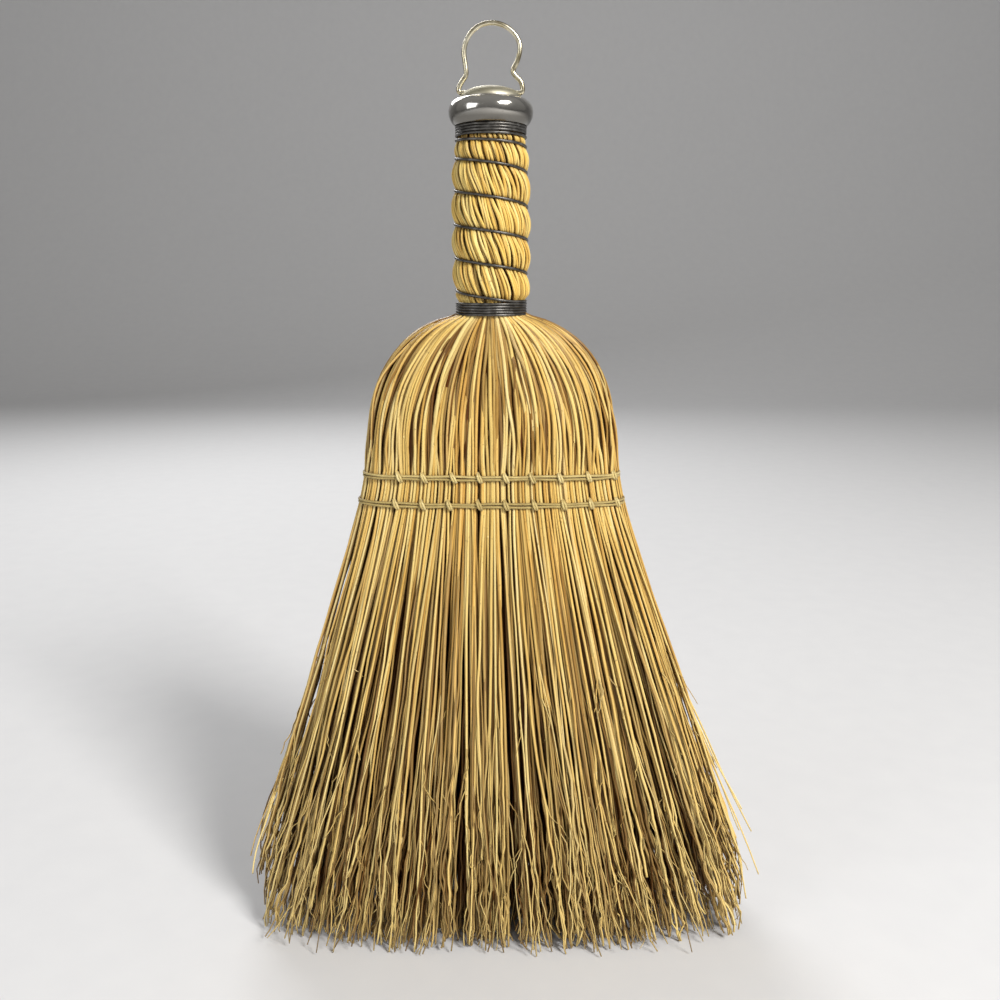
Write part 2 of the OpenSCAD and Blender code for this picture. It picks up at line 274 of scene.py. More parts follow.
# ---- materials
class Nodes:
    """A short way to write a material's node tree."""

    def __init__(self, name):
        self.material = bpy.data.materials.new(name)
        self.material.use_nodes = True
        self.tree = self.material.node_tree
        self.shader = self.tree.nodes["Principled BSDF"]

    def new(self, kind, **inputs):
        """A new node with inputs set by name, or by number as i0, i1 and so on."""
        node = self.tree.nodes.new(kind)
        for key, value in inputs.items():
            numbered = key[0] == "i" and key[1:].isdigit()
            self.put(node.inputs[int(key[1:]) if numbered else key], value)
        return node

    def put(self, socket, value):
        if isinstance(value, bpy.types.NodeSocket):
            self.tree.links.new(value, socket)
        else:
            socket.default_value = value

    def finish(self, **inputs):
        """The material, with inputs of its shader set by name, with _ for a space."""
        for key, value in inputs.items():
            self.put(self.shader.inputs[key.replace("_", " ")], value)
        return self.material

    def math(self, kind, a, b=0.0):
        node = self.new("ShaderNodeMath", i0=a, i1=b)
        node.operation = kind
        return node.outputs[0]

    def times(self, a, b):
        return self.math("MULTIPLY", a, b)

    def plus(self, a, b):
        return self.math("ADD", a, b)

    def spread(self, value, low, high, to_low=0.0, to_high=1.0):
        node = self.new("ShaderNodeMapRange", i0=value, i1=low, i2=high, i3=to_low, i4=to_high)
        return node.outputs[0]

    def mix(self, factor, a, b, kind="MIX"):
        node = self.tree.nodes.new("ShaderNodeMix")
        node.data_type = "RGBA"
        node.blend_type = kind
        self.put(node.inputs[0], factor)
        self.put(node.inputs[6], a)
        self.put(node.inputs[7], b)
        return node.outputs[2]

    def noise(self, vector, scale, detail=3.0, roughness=0.5):
        node = self.new("ShaderNodeTexNoise", Vector=vector, Scale=scale, Detail=detail,
                        Roughness=roughness)
        return node.outputs["Fac"]

    def combine(self, x, y, z):
        return self.new("ShaderNodeCombineXYZ", i0=x, i1=y, i2=z).outputs[0]

    def scaled(self, x, y, z, scales):
        """A vector of three values, each times its own scale."""
        return self.combine(*(self.times(v, k) for v, k in zip((x, y, z), scales)))

    def weighed(self, a, share, b):
        """a and b added together, with share the weight of a and the rest that of b."""
        return self.plus(self.times(a, share), self.times(b, 1 - share))

    def paint_shade(self, colour, painted_shade):
        """The colour, darkened with painted shade where a straw or strand lies deep or turns inwards."""
        return self.mix(1.0, colour, self.mix(painted_shade, (1, 1, 1, 1), (*PAINTED_SHADE_COLOUR, 1)), "MULTIPLY")

    def ramp(self, value, stops):
        node = self.new("ShaderNodeValToRGB", Fac=value)
        elements = node.color_ramp.elements
        while len(elements) < len(stops):
            elements.new(0.5)
        for element, (place, colour) in zip(elements, stops):
            element.position = place
            element.color = (*colour, 1)
        return node.outputs["Color"]

    def bump(self, height, distance, strength):
        node = self.new("ShaderNodeBump", Strength=strength, Distance=distance, Height=height)
        return node.outputs["Normal"]

    def marks(self):
        """What a tube carries: its tint, the way along it in decimetres, the cosine and sine of the
        way round it, and its painted shade, which is how much darker it is painted."""
        mark = self.new("ShaderNodeAttribute")
        mark.attribute_name = "mark"
        painted_shade = self.new("ShaderNodeAttribute")
        painted_shade.attribute_name = "painted_shade"
        parts = self.new("ShaderNodeSeparateColor", i0=mark.outputs["Color"])
        return *parts.outputs[:3], mark.outputs["Alpha"], painted_shade.outputs["Fac"]

    def place(self):
        return self.new("ShaderNodeTexCoord").outputs["Object"]


# Colours of straw from the darkest to the palest, in the brush and in the handle.
GOLD = [(0.05, (0.5, 0.27, 0.06)), (0.25, (0.7, 0.43, 0.1)), (0.45, (0.84, 0.58, 0.17)),
        (0.7, (0.92, 0.7, 0.26)), (0.95, (0.96, 0.82, 0.42))]
HANDLE_GOLD = [(0.05, (0.54, 0.29, 0.055)), (0.25, (0.76, 0.47, 0.095)), (0.45, (0.9, 0.62, 0.155)),
               (0.7, (0.97, 0.74, 0.235)), (0.95, (1.0, 0.84, 0.37))]
# The painted shade's colour, which straw and twine are tinted with where they lie deep or turn inwards.
PAINTED_SHADE_COLOUR = (0.13, 0.055, 0.01)
# The straws are painted paler below this height, more the lower they are, as painted light.
PAINTED_LIGHT_H = 130.0
# Where the cap's dome rises from its bead, and the heights between which the bead's underside is darkened
# with painted shade.
CREASE_Z = 298.6
UNDERSIDE_SHADE_LOW, UNDERSIDE_SHADE_HIGH = 292.0, 297.0


def straw_material(name, stops, shade, roughness):
    """Dry broomcorn: each straw its own colour, with lengthwise fibres, blotches, a waxy skin, painted
    light that makes it paler towards the bottom, and painted shade where it lies deep or turns inwards.
    """
    n = Nodes(name)
    tint, along, c, s, painted_shade = n.marks()
    own = n.times(tint, 91.0)
    round_it = n.plus(n.times(c, 2.2), own)
    fibre = n.noise(n.combine(round_it, n.times(s, 2.2), n.times(along, 1.6)), 1.6, 4.0, 0.6)
    blotch = n.noise(n.combine(own, n.times(along, 9.0), c), 1.0, 3.0, 0.55)
    blotchy = n.times(n.math("SUBTRACT", blotch, 0.28), 0.6)
    colour = n.ramp(n.plus(n.times(tint, 0.72), blotchy), stops)
    streak = n.spread(fibre, 0.36, 0.56, 1.0, 0.0)
    colour = n.mix(n.times(streak, 0.55), colour, (*shade, 1))
    speck = n.spread(n.noise(n.place(), 900.0, 2.0), 0.66, 0.74, 0.0, 0.5)
    colour = n.mix(speck, colour, (0.12, 0.06, 0.02, 1))
    hue = n.math("FRACT", n.times(tint, 57.3))
    colour = n.mix(n.spread(hue, 0.7, 1.0, 0.0, 0.45), colour, (0.66, 0.53, 0.19, 1))
    colour = n.mix(n.spread(hue, 0.0, 0.25, 0.4, 0.0), colour, (0.74, 0.41, 0.1, 1))
    height = n.new("ShaderNodeSeparateXYZ", i0=n.place()).outputs[2]
    # Painted light: the straws are painted paler towards the bottom.
    colour = n.mix(n.spread(height, 0.0, PAINTED_LIGHT_H * MM, 0.5, 0.0), colour, (1.0, 0.8, 0.33, 1))
    # Painted shade where the straw lies deep or turns inwards.
    colour = n.paint_shade(colour, painted_shade)
    rough = n.spread(blotch, 0.3, 0.7, roughness - 0.08, roughness + 0.14)
    return n.finish(Base_Color=colour, Roughness=rough, Specular_IOR_Level=0.3,
                    Normal=n.bump(fibre, 0.00022, 0.75))


def twine_material():
    """Waxed twine with fine fibres along its plies, some dirt, and painted shade where its strands turn
    inwards.
    """
    n = Nodes("waxed_twine")
    tint, along, c, s, painted_shade = n.marks()
    fibre = n.noise(n.scaled(c, s, along, (3.0, 3.0, 60.0)), 2.0, 4.0, 0.7)
    colour = n.ramp(n.weighed(fibre, 0.7, tint), [
        (0.2, (0.16, 0.1, 0.025)), (0.4, (0.42, 0.31, 0.1)),
        (0.56, (0.68, 0.54, 0.22)), (0.75, (0.88, 0.75, 0.4))])
    dirt = n.spread(n.noise(n.place(), 260.0, 3.0), 0.45, 0.66, 0.0, 0.35)
    # Painted shade where the strands turn inwards.
    colour = n.paint_shade(colour, painted_shade)
    colour = n.mix(dirt, colour, (0.22, 0.15, 0.05, 1))
    return n.finish(Base_Color=colour, Roughness=0.55, Specular_IOR_Level=0.35, Sheen_Weight=0.15,
                    Normal=n.bump(fibre, 0.00012, 0.8))


def wire_material():
    """Dark annealed wire with scale on it, worn brighter in places."""
    n = Nodes("dark_annealed_wire")
    _, along, c, s, _ = n.marks()
    wear = n.noise(n.place(), 420.0, 4.0, 0.6)
    scale = n.noise(n.scaled(c, s, along, (1.5, 1.5, 24.0)), 1.3, 3.0)
    colour = n.ramp(n.weighed(wear, 0.6, scale), [
        (0.3, (0.032, 0.028, 0.024)), (0.5, (0.095, 0.09, 0.082)), (0.68, (0.22, 0.215, 0.205))])
    return n.finish(Base_Color=colour, Metallic=0.85, Roughness=n.spread(wear, 0.3, 0.7, 0.3, 0.5),
                    Normal=n.bump(scale, 0.00006, 0.5))


def cap_material():
    """Worn nickel: a bright bead with painted shade on its underside, a dull warm dome, painted shade in
    the crease and pits all over.
    """
    n = Nodes("worn_nickel")
    place = n.place()
    height = n.new("ShaderNodeSeparateXYZ", i0=place).outputs[2]
    dome = n.spread(height, (CREASE_Z + 0.05) * MM, (CREASE_Z + 0.5) * MM)
    clouds = n.noise(place, 210.0, 5.0, 0.62)
    pits = n.spread(n.noise(place, 1500.0, 3.0, 0.7), 0.6, 0.72)
    # Painted shade: the bead is painted darker on its underside.
    under = n.spread(height, UNDERSIDE_SHADE_LOW * MM, UNDERSIDE_SHADE_HIGH * MM, 1.0, 0.0)
    bead = n.mix(under, (0.84, 0.81, 0.75, 1), (0.2, 0.19, 0.17, 1))
    warmth = n.times(dome, n.spread(clouds, 0.25, 0.6, 0.75, 1.0))
    warm = n.mix(warmth, bead, (0.44, 0.41, 0.3, 1))
    from_crease = n.math("ABSOLUTE", n.math("SUBTRACT", height, CREASE_Z * MM))
    # Painted shade in the crease between bead and dome, which is also made rougher.
    crease = n.spread(from_crease, 0.0, 0.55 * MM, 0.85, 0.0)
    colour = n.mix(crease, warm, (0.075, 0.055, 0.035, 1))
    pitted = n.times(pits, n.spread(dome, 0.0, 1.0, 0.25, 0.7))
    colour = n.mix(pitted, colour, (0.14, 0.11, 0.07, 1))
    rough = n.plus(n.spread(clouds, 0.3, 0.7, 0.08, 0.18), n.times(dome, 0.42))
    return n.finish(Base_Color=colour, Metallic=1.0, Roughness=n.plus(rough, n.times(crease, 0.3)),
                    Normal=n.bump(n.plus(clouds, n.times(pits, -0.3)), 0.00012, 0.35))


def loop_material():
    """Pale brass wire, tarnished in patches and scratched lengthwise."""
    n = Nodes("pale_brass_wire")
    _, along, c, s, _ = n.marks()
    clouds = n.noise(n.place(), 190.0, 4.0, 0.55)
    scratch = n.noise(n.scaled(c, s, along, (2.5, 2.5, 5.0)), 2.0, 4.0)
    colour = n.ramp(n.weighed(clouds, 0.7, scratch), [
        (0.3, (0.34, 0.27, 0.15)), (0.45, (0.58, 0.51, 0.34)),
        (0.6, (0.74, 0.69, 0.53)), (0.8, (0.84, 0.8, 0.67))])
    return n.finish(Base_Color=colour, Metallic=1.0, Roughness=n.spread(clouds, 0.3, 0.7, 0.2, 0.34),
                    Normal=n.bump(scratch, 0.00004, 0.4))


brush_straw = straw_material("brush_straw", GOLD, (0.5, 0.27, 0.06), 0.32)
handle_straw = straw_material("handle_straw", HANDLE_GOLD, (0.56, 0.31, 0.065), 0.4)
twine_mat = twine_material()
wire_mat = wire_material()


# ---- the straws of the brush
def waves(z, phase, lengths):
    """A smooth wander along the height for the rows of phase (straws, 2, waves)."""
    total = np.zeros((2, *z.shape))
    for k, length in enumerate(lengths):
        for axis in range(2):
            total[axis] += np.sin(TAU * z / length + phase[:, axis, k][:, None]) / (k + 1)
    return total


class Field:
    """Where each straw of the brush runs: at(index, z) gives its points at rows of heights."""

    def __init__(self, rings):
        rows = []
        for layer, (share, spacing) in enumerate(rings):
            angles = self.even_angles(share, spacing)
            n = len(angles)
            rank = np.array([0.0, 2.0, 1.0, 2.0])[np.arange(n) % 4]
            rank = np.where(rng.uniform(0, 1, n) < 0.2, rng.permutation(rank), rank)
            rows.append([share * bent(np.cos(angles), 2 / plan_power(UPPER_Z)),
                         np.where(np.sin(angles) < 0, -1.0, 1.0), np.full(n, share),
                         rank * (layer == 0)])
        self.u, self.side, self.share, self.stagger = np.concatenate(rows, axis=1)
        n = self.n = len(self.u)
        self.share = self.share * (1 + rng.normal(0, 0.02, n) * (self.share < 0.97))
        cell = np.floor(self.u * 11.5 + rng.normal(0, 0.2, n)).astype(int) + 14
        band = (self.share < 0.88).astype(int) + (self.share < 0.62)
        clump = cell + 32 * (self.side > 0) + 64 * band
        total, count = np.bincount(clump, self.u, 256), np.bincount(clump, minlength=256)
        self.clump_u = (total / np.maximum(count, 1))[clump]
        pull = rng.uniform(0.05, 0.42, 256)[clump]
        self.clump_pull = pull * np.interp(np.abs(self.u), [0.7, 0.9], [1, 0.35])
        self.clump_move = rng.normal(0, 1, (256, 2))[clump]
        self.lean = rng.normal(0, 1, (n, 2))
        self.bow = rng.normal(0, 1, (n, 2))
        self.phase = rng.uniform(0, TAU, (n, 2, 3))
        self.fine = rng.uniform(0, TAU, (n, 2, 2))
        self.lively = rng.gamma(3.0, 0.34, n)
        self.gap = rng.uniform(0.35, 1.35, (2, STITCHES + 1))

    @staticmethod
    def even_angles(share, spacing):
        """Angles that put straws at an even spacing round a ring of the plan."""
        t = np.linspace(0, TAU, 4001)
        power = 2 / plan_power(UPPER_Z)
        x = share * half_w(UPPER_Z) * bent(np.cos(t), power)
        y = share * half_t(UPPER_Z) * bent(np.sin(t), power)
        run = run_along(np.stack([x, y], -1))
        count = int(run[-1] / spacing)
        places = (np.arange(count) + rng.uniform(-0.3, 0.3, count)) * run[-1] / count
        return np.interp(places % run[-1], run, t)

    def sink(self, index, z):
        """How far a straw has slipped under its neighbours, which crowd together towards the neck."""
        rank = self.stagger[index][:, None]
        return rank * unit((z - 214 + 11 * rank) / 26) ** 1.4

    def at(self, index, z):
        """Points (straws, heights, 3) of the straws in index at the heights z (straws, heights)."""
        u, side, share = (v[index][:, None] for v in (self.u, self.side, self.share))
        low = unit((LOWER_Z - z) / LOWER_Z)
        u = u + (self.clump_u[index][:, None] - u) * self.clump_pull[index][:, None] * low ** 1.8
        w = free_w(z)
        q = unit((SHOULDER_Z - z) / SPREAD_H)
        gentle = NECK_R + (half_w(FLARE_Z) - NECK_R) * (1 - (1 - q) ** 2.1)
        edge = np.abs(u) ** 1.6
        flow = np.where(z > FLARE_Z, gentle * (1 - edge) + w * edge, w)
        x = u * flow
        # The stitches part the straws into tufts.
        rel = np.clip(x / w, -1, 1)
        cell = np.clip(np.floor((rel - FIRST_STITCH) / STITCH_STEP), -1, STITCHES - 1)
        inside = unit((rel - FIRST_STITCH) / STITCH_STEP - cell)
        push = np.where(cell < 0, -(1 + (rel - FIRST_STITCH) / 0.3), 1 - 2 * inside)
        push = np.where(cell >= STITCHES - 1, 0.6, push)
        stitch = np.clip(cell + (inside > 0.5), 0, STITCHES - 1).astype(int)
        push = push * self.gap[(side > 0).astype(int), stitch]
        x = x + push * gap_at(z) / 2 * unit(share * 3 - 1.8)
        n = plan_power(z)
        rel = np.clip(np.abs(x) / w, 0, share - 1e-3)
        y = side * half_t(z) * (share ** n - rel ** n) ** (1 / n)
        sunk = 1.1 * self.sink(index, z)
        tug = 0.45 * (np.exp(-((z - UPPER_Z) / 3.5) ** 2) + np.exp(-((z - LOWER_Z) / 3.5) ** 2))
        y = y - side * (sunk + tug + 0.5) * np.clip(share, 0.3, 1)
        # Each straw strays a little above the stitching, and more and more below it.
        up = unit((SHOULDER_Z - z) / 14) * unit((z - UPPER_Z) / 10)
        tip = unit(1 - z / 78) ** 1.2
        lively = self.lively[index][:, None]
        lean, bow = self.lean[index], self.bow[index]
        move = self.clump_move[index]
        wander = waves(z, self.phase[index], (76.0, 43.0, 24.0))
        crinkle = waves(z, self.fine[index], (15.0, 8.0))
        arch = np.sin(math.pi * unit((z - UPPER_Z) / (SHOULDER_Z - UPPER_Z)))
        x = x + lean[:, :1] * 0.8 * arch
        for axis, point in ((0, x), (1, y)):
            size = (1.0, 0.75)[axis]
            point += size * wander[axis] * lively * (0.32 * up + 0.05 + 0.42 * low)
            bowed = size * bow[:, axis, None] * np.sin(math.pi * low)
            point += size * lean[:, axis, None] * 2.3 * low + bowed
            point += size * move[:, axis, None] * 1.9 * low ** 1.3
            point += size * crinkle[axis] * lively * 0.42 * tip
        return held_in(np.stack([x + aside(z), y, z], -1), 3.0)


def heights(ends, coarse=1):
    """Rows of heights from the neck down to each straw's own end."""
    fixed = np.concatenate([np.linspace(BUNCH_TOP + 0.8, 219, 11), np.linspace(216, 190, 9),
                            np.linspace(187, 152, 15), np.linspace(145, 66, 12)])[::coarse]
    tail = np.linspace(0, 1, 19)[::coarse]
    z = np.empty((len(ends), len(fixed) + len(tail)))
    z[:, :len(fixed)] = fixed
    z[:, len(fixed):] = 60 + (ends[:, None] - 60) * tail
    return z


def corner_end(u):
    """Lowest height that a straw at the share u of the half width reaches, by the round corners."""
    z = np.linspace(0, CORNER_H, 81)
    inside = np.abs(u)[:, None] * free_w(z) <= half_w(z) + CORNER_PROUD
    return z[np.argmax(inside, axis=1)]


def straw_radius(z, thick):
    """Radius of a straw at a height: stout at the neck, finer towards its tip."""
    share = np.interp(z, [0, 15, 40, 80, 130, LOWER_Z, UPPER_Z, 190, 215], [
        0.6, 0.68, 0.77, 0.86, 0.93, 0.93, 0.93, 1.02, 1.12])
    return 0.5 * thick[:, None] * share


def tuft_of(u, side, share):
    """The CAD node that a straw belongs to."""
    if u < FIRST_STITCH:
        return "left_shoulder_bunch"
    if u > stitch_u[TUFTS]:
        return "right_shoulder_bunch"
    if share < SKIN:
        return "centre_bunch"
    number = min(TUFTS, int((u - FIRST_STITCH) / STITCH_STEP) + 1)
    return f"{'front' if side < 0 else 'back'}_tuft_{number}"


# Each ring of straws: its share of the brush's outline, and the spacing at the upper stitching.
LAYERS = [(1.0, 1.17), (0.965, 1.6), (0.93, 1.17), (0.89, 2.0), (0.85, 1.15), (0.78, 1.2), (0.7, 1.2),
          (0.61, 1.25), (0.51, 1.35), (0.4, 1.5), (0.28, 1.8), (0.14, 2.4)]
field = Field(LAYERS)
corner = corner_end(field.u)
ends = np.abs(rng.normal(0, 3.2, field.n)) + 0.3
short = rng.uniform(0, 1, field.n) < 0.14
ends = np.where(short, rng.uniform(8, 40, field.n), ends)
ends = np.maximum(ends, corner + rng.normal(0, 2.5, field.n))
thick = np.clip(rng.normal(1.08, 0.16, field.n), 0.75, 1.5)
tints = rng.beta(1.7, 1.6, field.n)
# How much painted shade each straw gets by the depth of its ring.
depth_shade = np.interp(field.share, [0.7, 0.85, 0.89, 0.93, 0.965, 1.0], [1.0, 0.9, 0.82, 0.62, 0.4, 0.0])
names = np.array([tuft_of(*row) for row in zip(field.u, field.side, field.share)])
outer = field.share > 0.8
# How much darker a straw's sides are painted than its front, as painted shade, and the height above which
# both painted shades grow darker.
STRAW_SIDE_SHADE = 0.78
SHADE_Z = 185.0


def painted_shade_at(index, z):
    """How much painted shade the straws get: more with depth and where they slip under others, less at
    their ends.
    """
    deep = depth_shade[index][:, None] * np.interp(z, [0, 22, UPPER_Z, SHADE_Z], [0.72, 1.0, 1.0, 1.45])
    return 1 - (1 - unit(deep)) * (1 - 0.33 * field.sink(index, z))


def add_straws(tubes, index, sides, coarse, stout):
    """Whole straws. Hidden ones may be coarse, and stout towards their ends to fill the brush."""
    z = heights(ends[index], coarse)
    path = field.at(index, z)
    radius = straw_radius(z, thick[index]) * (1 + stout * unit((LOWER_Z - z) / 90))
    # The straws' sides get more painted shade towards the shoulders.
    side_shade = STRAW_SIDE_SHADE * np.interp(z, [UPPER_Z, SHADE_Z], [1.0, 1.17])
    tubes.add(path, radius, sides, tints[index], painted_shade_at(index, z), outward(path), side_shade)


def add_twigs(tubes, parent, start, end, splay, curl, size, rings=13, lift=0.0, kink=0.0):
    """Branches that leave their straws at the heights start and go their own way to the heights end."""
    n = len(parent)
    if not n:
        return
    t = np.linspace(0, 1, rings)
    z = start[:, None] + (end - start)[:, None] * t
    path = field.at(parent, z)
    run = start[:, None] - z
    turn = rng.uniform(0, TAU, n)
    steps = np.cumsum(rng.normal(0, 1, (n, rings, 2)) * (t > 0)[..., None], axis=1) * curl
    knee = rng.uniform(0.25, 0.8, (n, 1))
    bend = rng.normal(0, kink, (n, 2)) * (start - end)[:, None]
    for axis, way in ((0, np.cos(turn)), (1, np.sin(turn))):
        curled = steps[..., axis] * np.abs(run) ** 0.5
        path[..., axis] += (splay * way)[:, None] * run * (1 - 0.4 * t) + curled
        path[..., axis] += bend[:, axis, None] * unit(t - knee)
    path[..., 1] += lift * field.side[parent][:, None]
    path = held_in(path, 7.0)
    radius = size[:, None] * (1 - 0.4 * t)
    # Twigs take the painted shade of their straws, with more on their sides.
    tubes.add(path, radius, 4, rng.beta(2.6, 1.3, n), painted_shade_at(parent, z), outward(path), STRAW_SIDE_SHADE)


def branches(tubes, index):
    """The stout branches that the straws' ends part into."""
    n = len(index)
    start = rng.uniform(26, 112, n)
    end = np.maximum(np.abs(rng.normal(0, 4.0, n)) + 0.3, corner[index] + rng.normal(0, 2.0, n))
    end = np.minimum(end, start - 8)
    add_twigs(tubes, index, start, end, rng.uniform(0.03, 0.12, n), 0.07, rng.uniform(0.32, 0.47, n),
              kink=0.1)


def wisps(tubes, index):
    """Kinked side branches that stand out from the outermost straws."""
    for part, low, high, splay in ((0.5, 30, 120, (0.05, 0.25)), (1.0, 10, 62, (0.08, 0.4))):
        some = index[rng.uniform(0, 1, len(index)) < part]
        n = len(some)
        start = np.minimum(rng.uniform(low, high, n) + corner[some], 124)
        end = np.maximum(start - rng.uniform(8, 24, n), 0.5 + corner[some] * 0.9)
        add_twigs(tubes, some, start, end, rng.uniform(*splay, n), 0.12, rng.uniform(0.2, 0.34, n),
                  lift=0.4, kink=0.3)


def chaff(tubes, index):
    """A few broken fibres and seed husks caught on the outer straws above the stitching."""
    some = index[rng.uniform(0, 1, len(index)) < 0.12]
    n = len(some)
    start = rng.uniform(177, 226, n)
    way = np.where(rng.uniform(0, 1, n) < 0.5, -1, 1)
    add_twigs(tubes, some, start, start - way * rng.uniform(2.5, 6, n), rng.uniform(0.1, 0.5, n), 0.1,
              rng.uniform(0.07, 0.11, n), rings=8, lift=0.45)
    some = index[rng.uniform(0, 1, len(index)) < 0.1]
    if len(some):
        z = rng.uniform(150, 229, len(some))[:, None] + np.linspace(-0.55, 0.55, 6)
        path = field.at(some, z)
        path[..., 1] += 0.5 * field.side[some][:, None]
        husk = 0.3 * np.array([0.2, 0.75, 1.0, 1.0, 0.7, 0.2])
        radius = husk * rng.uniform(0.6, 1.1, (len(some), 1))
        tubes.add(path, radius, 7, rng.beta(3, 1, len(some)))


# Long hairs that stray from the sides: height where one leaves, and where it ends (x, y, z).
STRAYS = {
    "right_shoulder_bunch": [(108, 98.5, -3.0, 36.0), (100, 101.0, -8.0, 21.0), (92, 93.5, -6.0, 47.0),
                             (74, 96.5, -10.0, 12.0), (64, 95.0, 5.0, 9.0), (84, 97.0, 8.0, 30.0)],
    "left_shoulder_bunch": [(76, -86.0, -5.0, 39.0), (58, -90.5, -9.0, 22.0), (50, -88.5, 6.0, 16.0)],
}


def stray_hairs(tubes, name):
    """The listed hairs of one bunch, each a curve from its straw's side past a knee to its end."""
    for leave, x, y, z in STRAYS.get(name, []):
        t = np.linspace(0, 1, 22)[:, None]
        side = math.copysign(1, x)
        first = np.array([aside(leave) + side * (half_w(leave) - 1.2), y * 0.3, leave])
        last = np.array([x, y, z])
        middle = (leave + z) / 2
        knee = np.array([aside(middle) + side * (half_w(middle) + 2.2), y * 0.7, middle])
        path = (1 - t) ** 2 * first + 2 * t * (1 - t) * knee + t ** 2 * last
        path[:, 0] += 0.25 * np.sin(9 * t[:, 0] + x)
        tubes.add(path[None], np.linspace(0.42, 0.27, 22)[None], 6, [rng.beta(3, 1.5)])


def brush_pieces():
    """One piece for each bunch and tuft, with all the straws that belong to it."""
    for name in sorted(set(names)):
        tubes = Tubes()
        index = np.nonzero((names == name) & outer)[0]
        core = np.nonzero((names == name) & ~outer)[0]
        if len(index):
            add_straws(tubes, index, 8, 1, 0.0)
            branches(tubes, index)
            wisps(tubes, index[field.share[index] > 0.97])
            chaff(tubes, index[field.share[index] > 0.97])
        if len(core):
            add_straws(tubes, core, 5, 2, 0.5)
            branches(tubes, core[::2])
        stray_hairs(tubes, name)
        piece = tubes.build(name + "_straws", brush_straw)
        stand_for(piece, name)


brush_pieces()

# ---- the binding wire's winding
# An upper band of tight turns, an open winding that widens over its first turns, and a lower band.
WIRE_D = 0.86
BAND_PITCH = 0.88
WRAP_PITCH = 10.8
RAMP_TURNS = 2
TOP_BAND_TURNS = 3.54
LOW_BAND_TURNS = 5.5
TOP_BAND_Z = box_mm("binding_wire")[1][2] - WIRE_D / 2
WRAP_TOP = TOP_BAND_Z - TOP_BAND_TURNS * BAND_PITCH
WRAP_LOW = 234.0
RAMP_DROP = RAMP_TURNS * (WRAP_PITCH + BAND_PITCH) / 2
WRAP_TURNS = RAMP_TURNS + (WRAP_TOP - WRAP_LOW - RAMP_DROP) / WRAP_PITCH
LOW_BAND_R, TOP_BAND_R, MID_WRAP_R = 11.7, 11.4, 12.1
# The winding's drop over its first turns is BAND_PITCH * turns + RAMP_RATE * turns ** 2.
RAMP_RATE = (WRAP_PITCH - BAND_PITCH) / (2 * RAMP_TURNS)


def stepped(turns):
    """Whole turns of a band: each lies level and steps to the next one at the back."""
    s = turns - 0.25
    rise = unit((s - np.floor(s) - 0.35) / 0.3)
    return np.floor(s) + rise * rise * (3 - 2 * rise)


def wire_height(turns):
    """Height of the wire's middle after a number of turns from its upper end."""
    wrapped = np.clip(turns - TOP_BAND_TURNS, 0, WRAP_TURNS)
    drop = np.where(wrapped < RAMP_TURNS, BAND_PITCH * wrapped + RAMP_RATE * wrapped ** 2,
                    RAMP_DROP + WRAP_PITCH * (wrapped - RAMP_TURNS))
    # The last part turn of the upper band slopes on into the open winding.
    banded = np.minimum(turns, TOP_BAND_TURNS)
    settle = unit((turns - TOP_BAND_TURNS) / 0.55 + 1)
    above = stepped(banded) + (banded - stepped(banded)) * settle
    start = TOP_BAND_TURNS + WRAP_TURNS
    below = np.where(turns > start, stepped(turns) - stepped(start), 0)
    return TOP_BAND_Z - BAND_PITCH * (above + below) - drop


def turns_at(drop):
    """Turns of the open winding over a drop in height: wire_height's part for it, turned round."""
    root = np.sqrt(BAND_PITCH ** 2 + 4 * RAMP_RATE * np.clip(drop, 0, None))
    ramp = (root - BAND_PITCH) / (2 * RAMP_RATE)
    return np.where(drop < RAMP_DROP, ramp, RAMP_TURNS + (drop - RAMP_DROP) / WRAP_PITCH)


def wire_radius(z):
    """Distance of the wire's middle from the handle's axis, largest halfway up the open winding."""
    s = unit((z - WRAP_LOW) / (WRAP_TOP - WRAP_LOW))
    chord = LOW_BAND_R + (TOP_BAND_R - LOW_BAND_R) * s
    return chord + (MID_WRAP_R - (LOW_BAND_R + TOP_BAND_R) / 2) * 4 * s * (1 - s)


def binding_wire():
    turns = np.linspace(0, TOP_BAND_TURNS + WRAP_TURNS + LOW_BAND_TURNS, 1180)
    a = math.pi + TAU * turns
    z = wire_height(turns)
    z[3:-3] = np.convolve(z, np.ones(7) / 7, "valid")
    r = wire_radius(z) + 0.04 * np.sin(2.3 * a) + 0.03 * np.sin(5.1 * a + 1)
    wire = Tubes().add(polar(r, a, z)[None], WIRE_D / 2, 12, [0.5], ref=(0.0, 0.0, 1.0))
    stand_for(wire.build("binding_wire_winding", wire_mat), "binding_wire")


binding_wire()

# ---- the handle's stalks
# How far the stalks swell out between turns of the wire, how far they sink under it, and how much
# they turn round the handle for each millimetre down.
SWELL = 1.9
VALLEY = 0.6
STALK_TURN = math.radians(1.6)
STALK_LOW = 232.0
STALK_TOP = box_mm("handle_stalks")[1][2] - 0.1
# Each layer of stalks: how many, how far under the surface, thickness, and the mesh's rings and sides.
HANDLE_LAYERS = [(74, 0.0, 0.98, 98, 8), (66, 0.6, 1.06, 56, 6), (52, 1.5, 1.2, 36, 5)]
# How much painted shade the stalks' sides get.
HANDLE_SIDE_SHADE = 0.64
# How much painted shadow darkens the stalks next to the wire.
WIRE_SHADE = 0.85


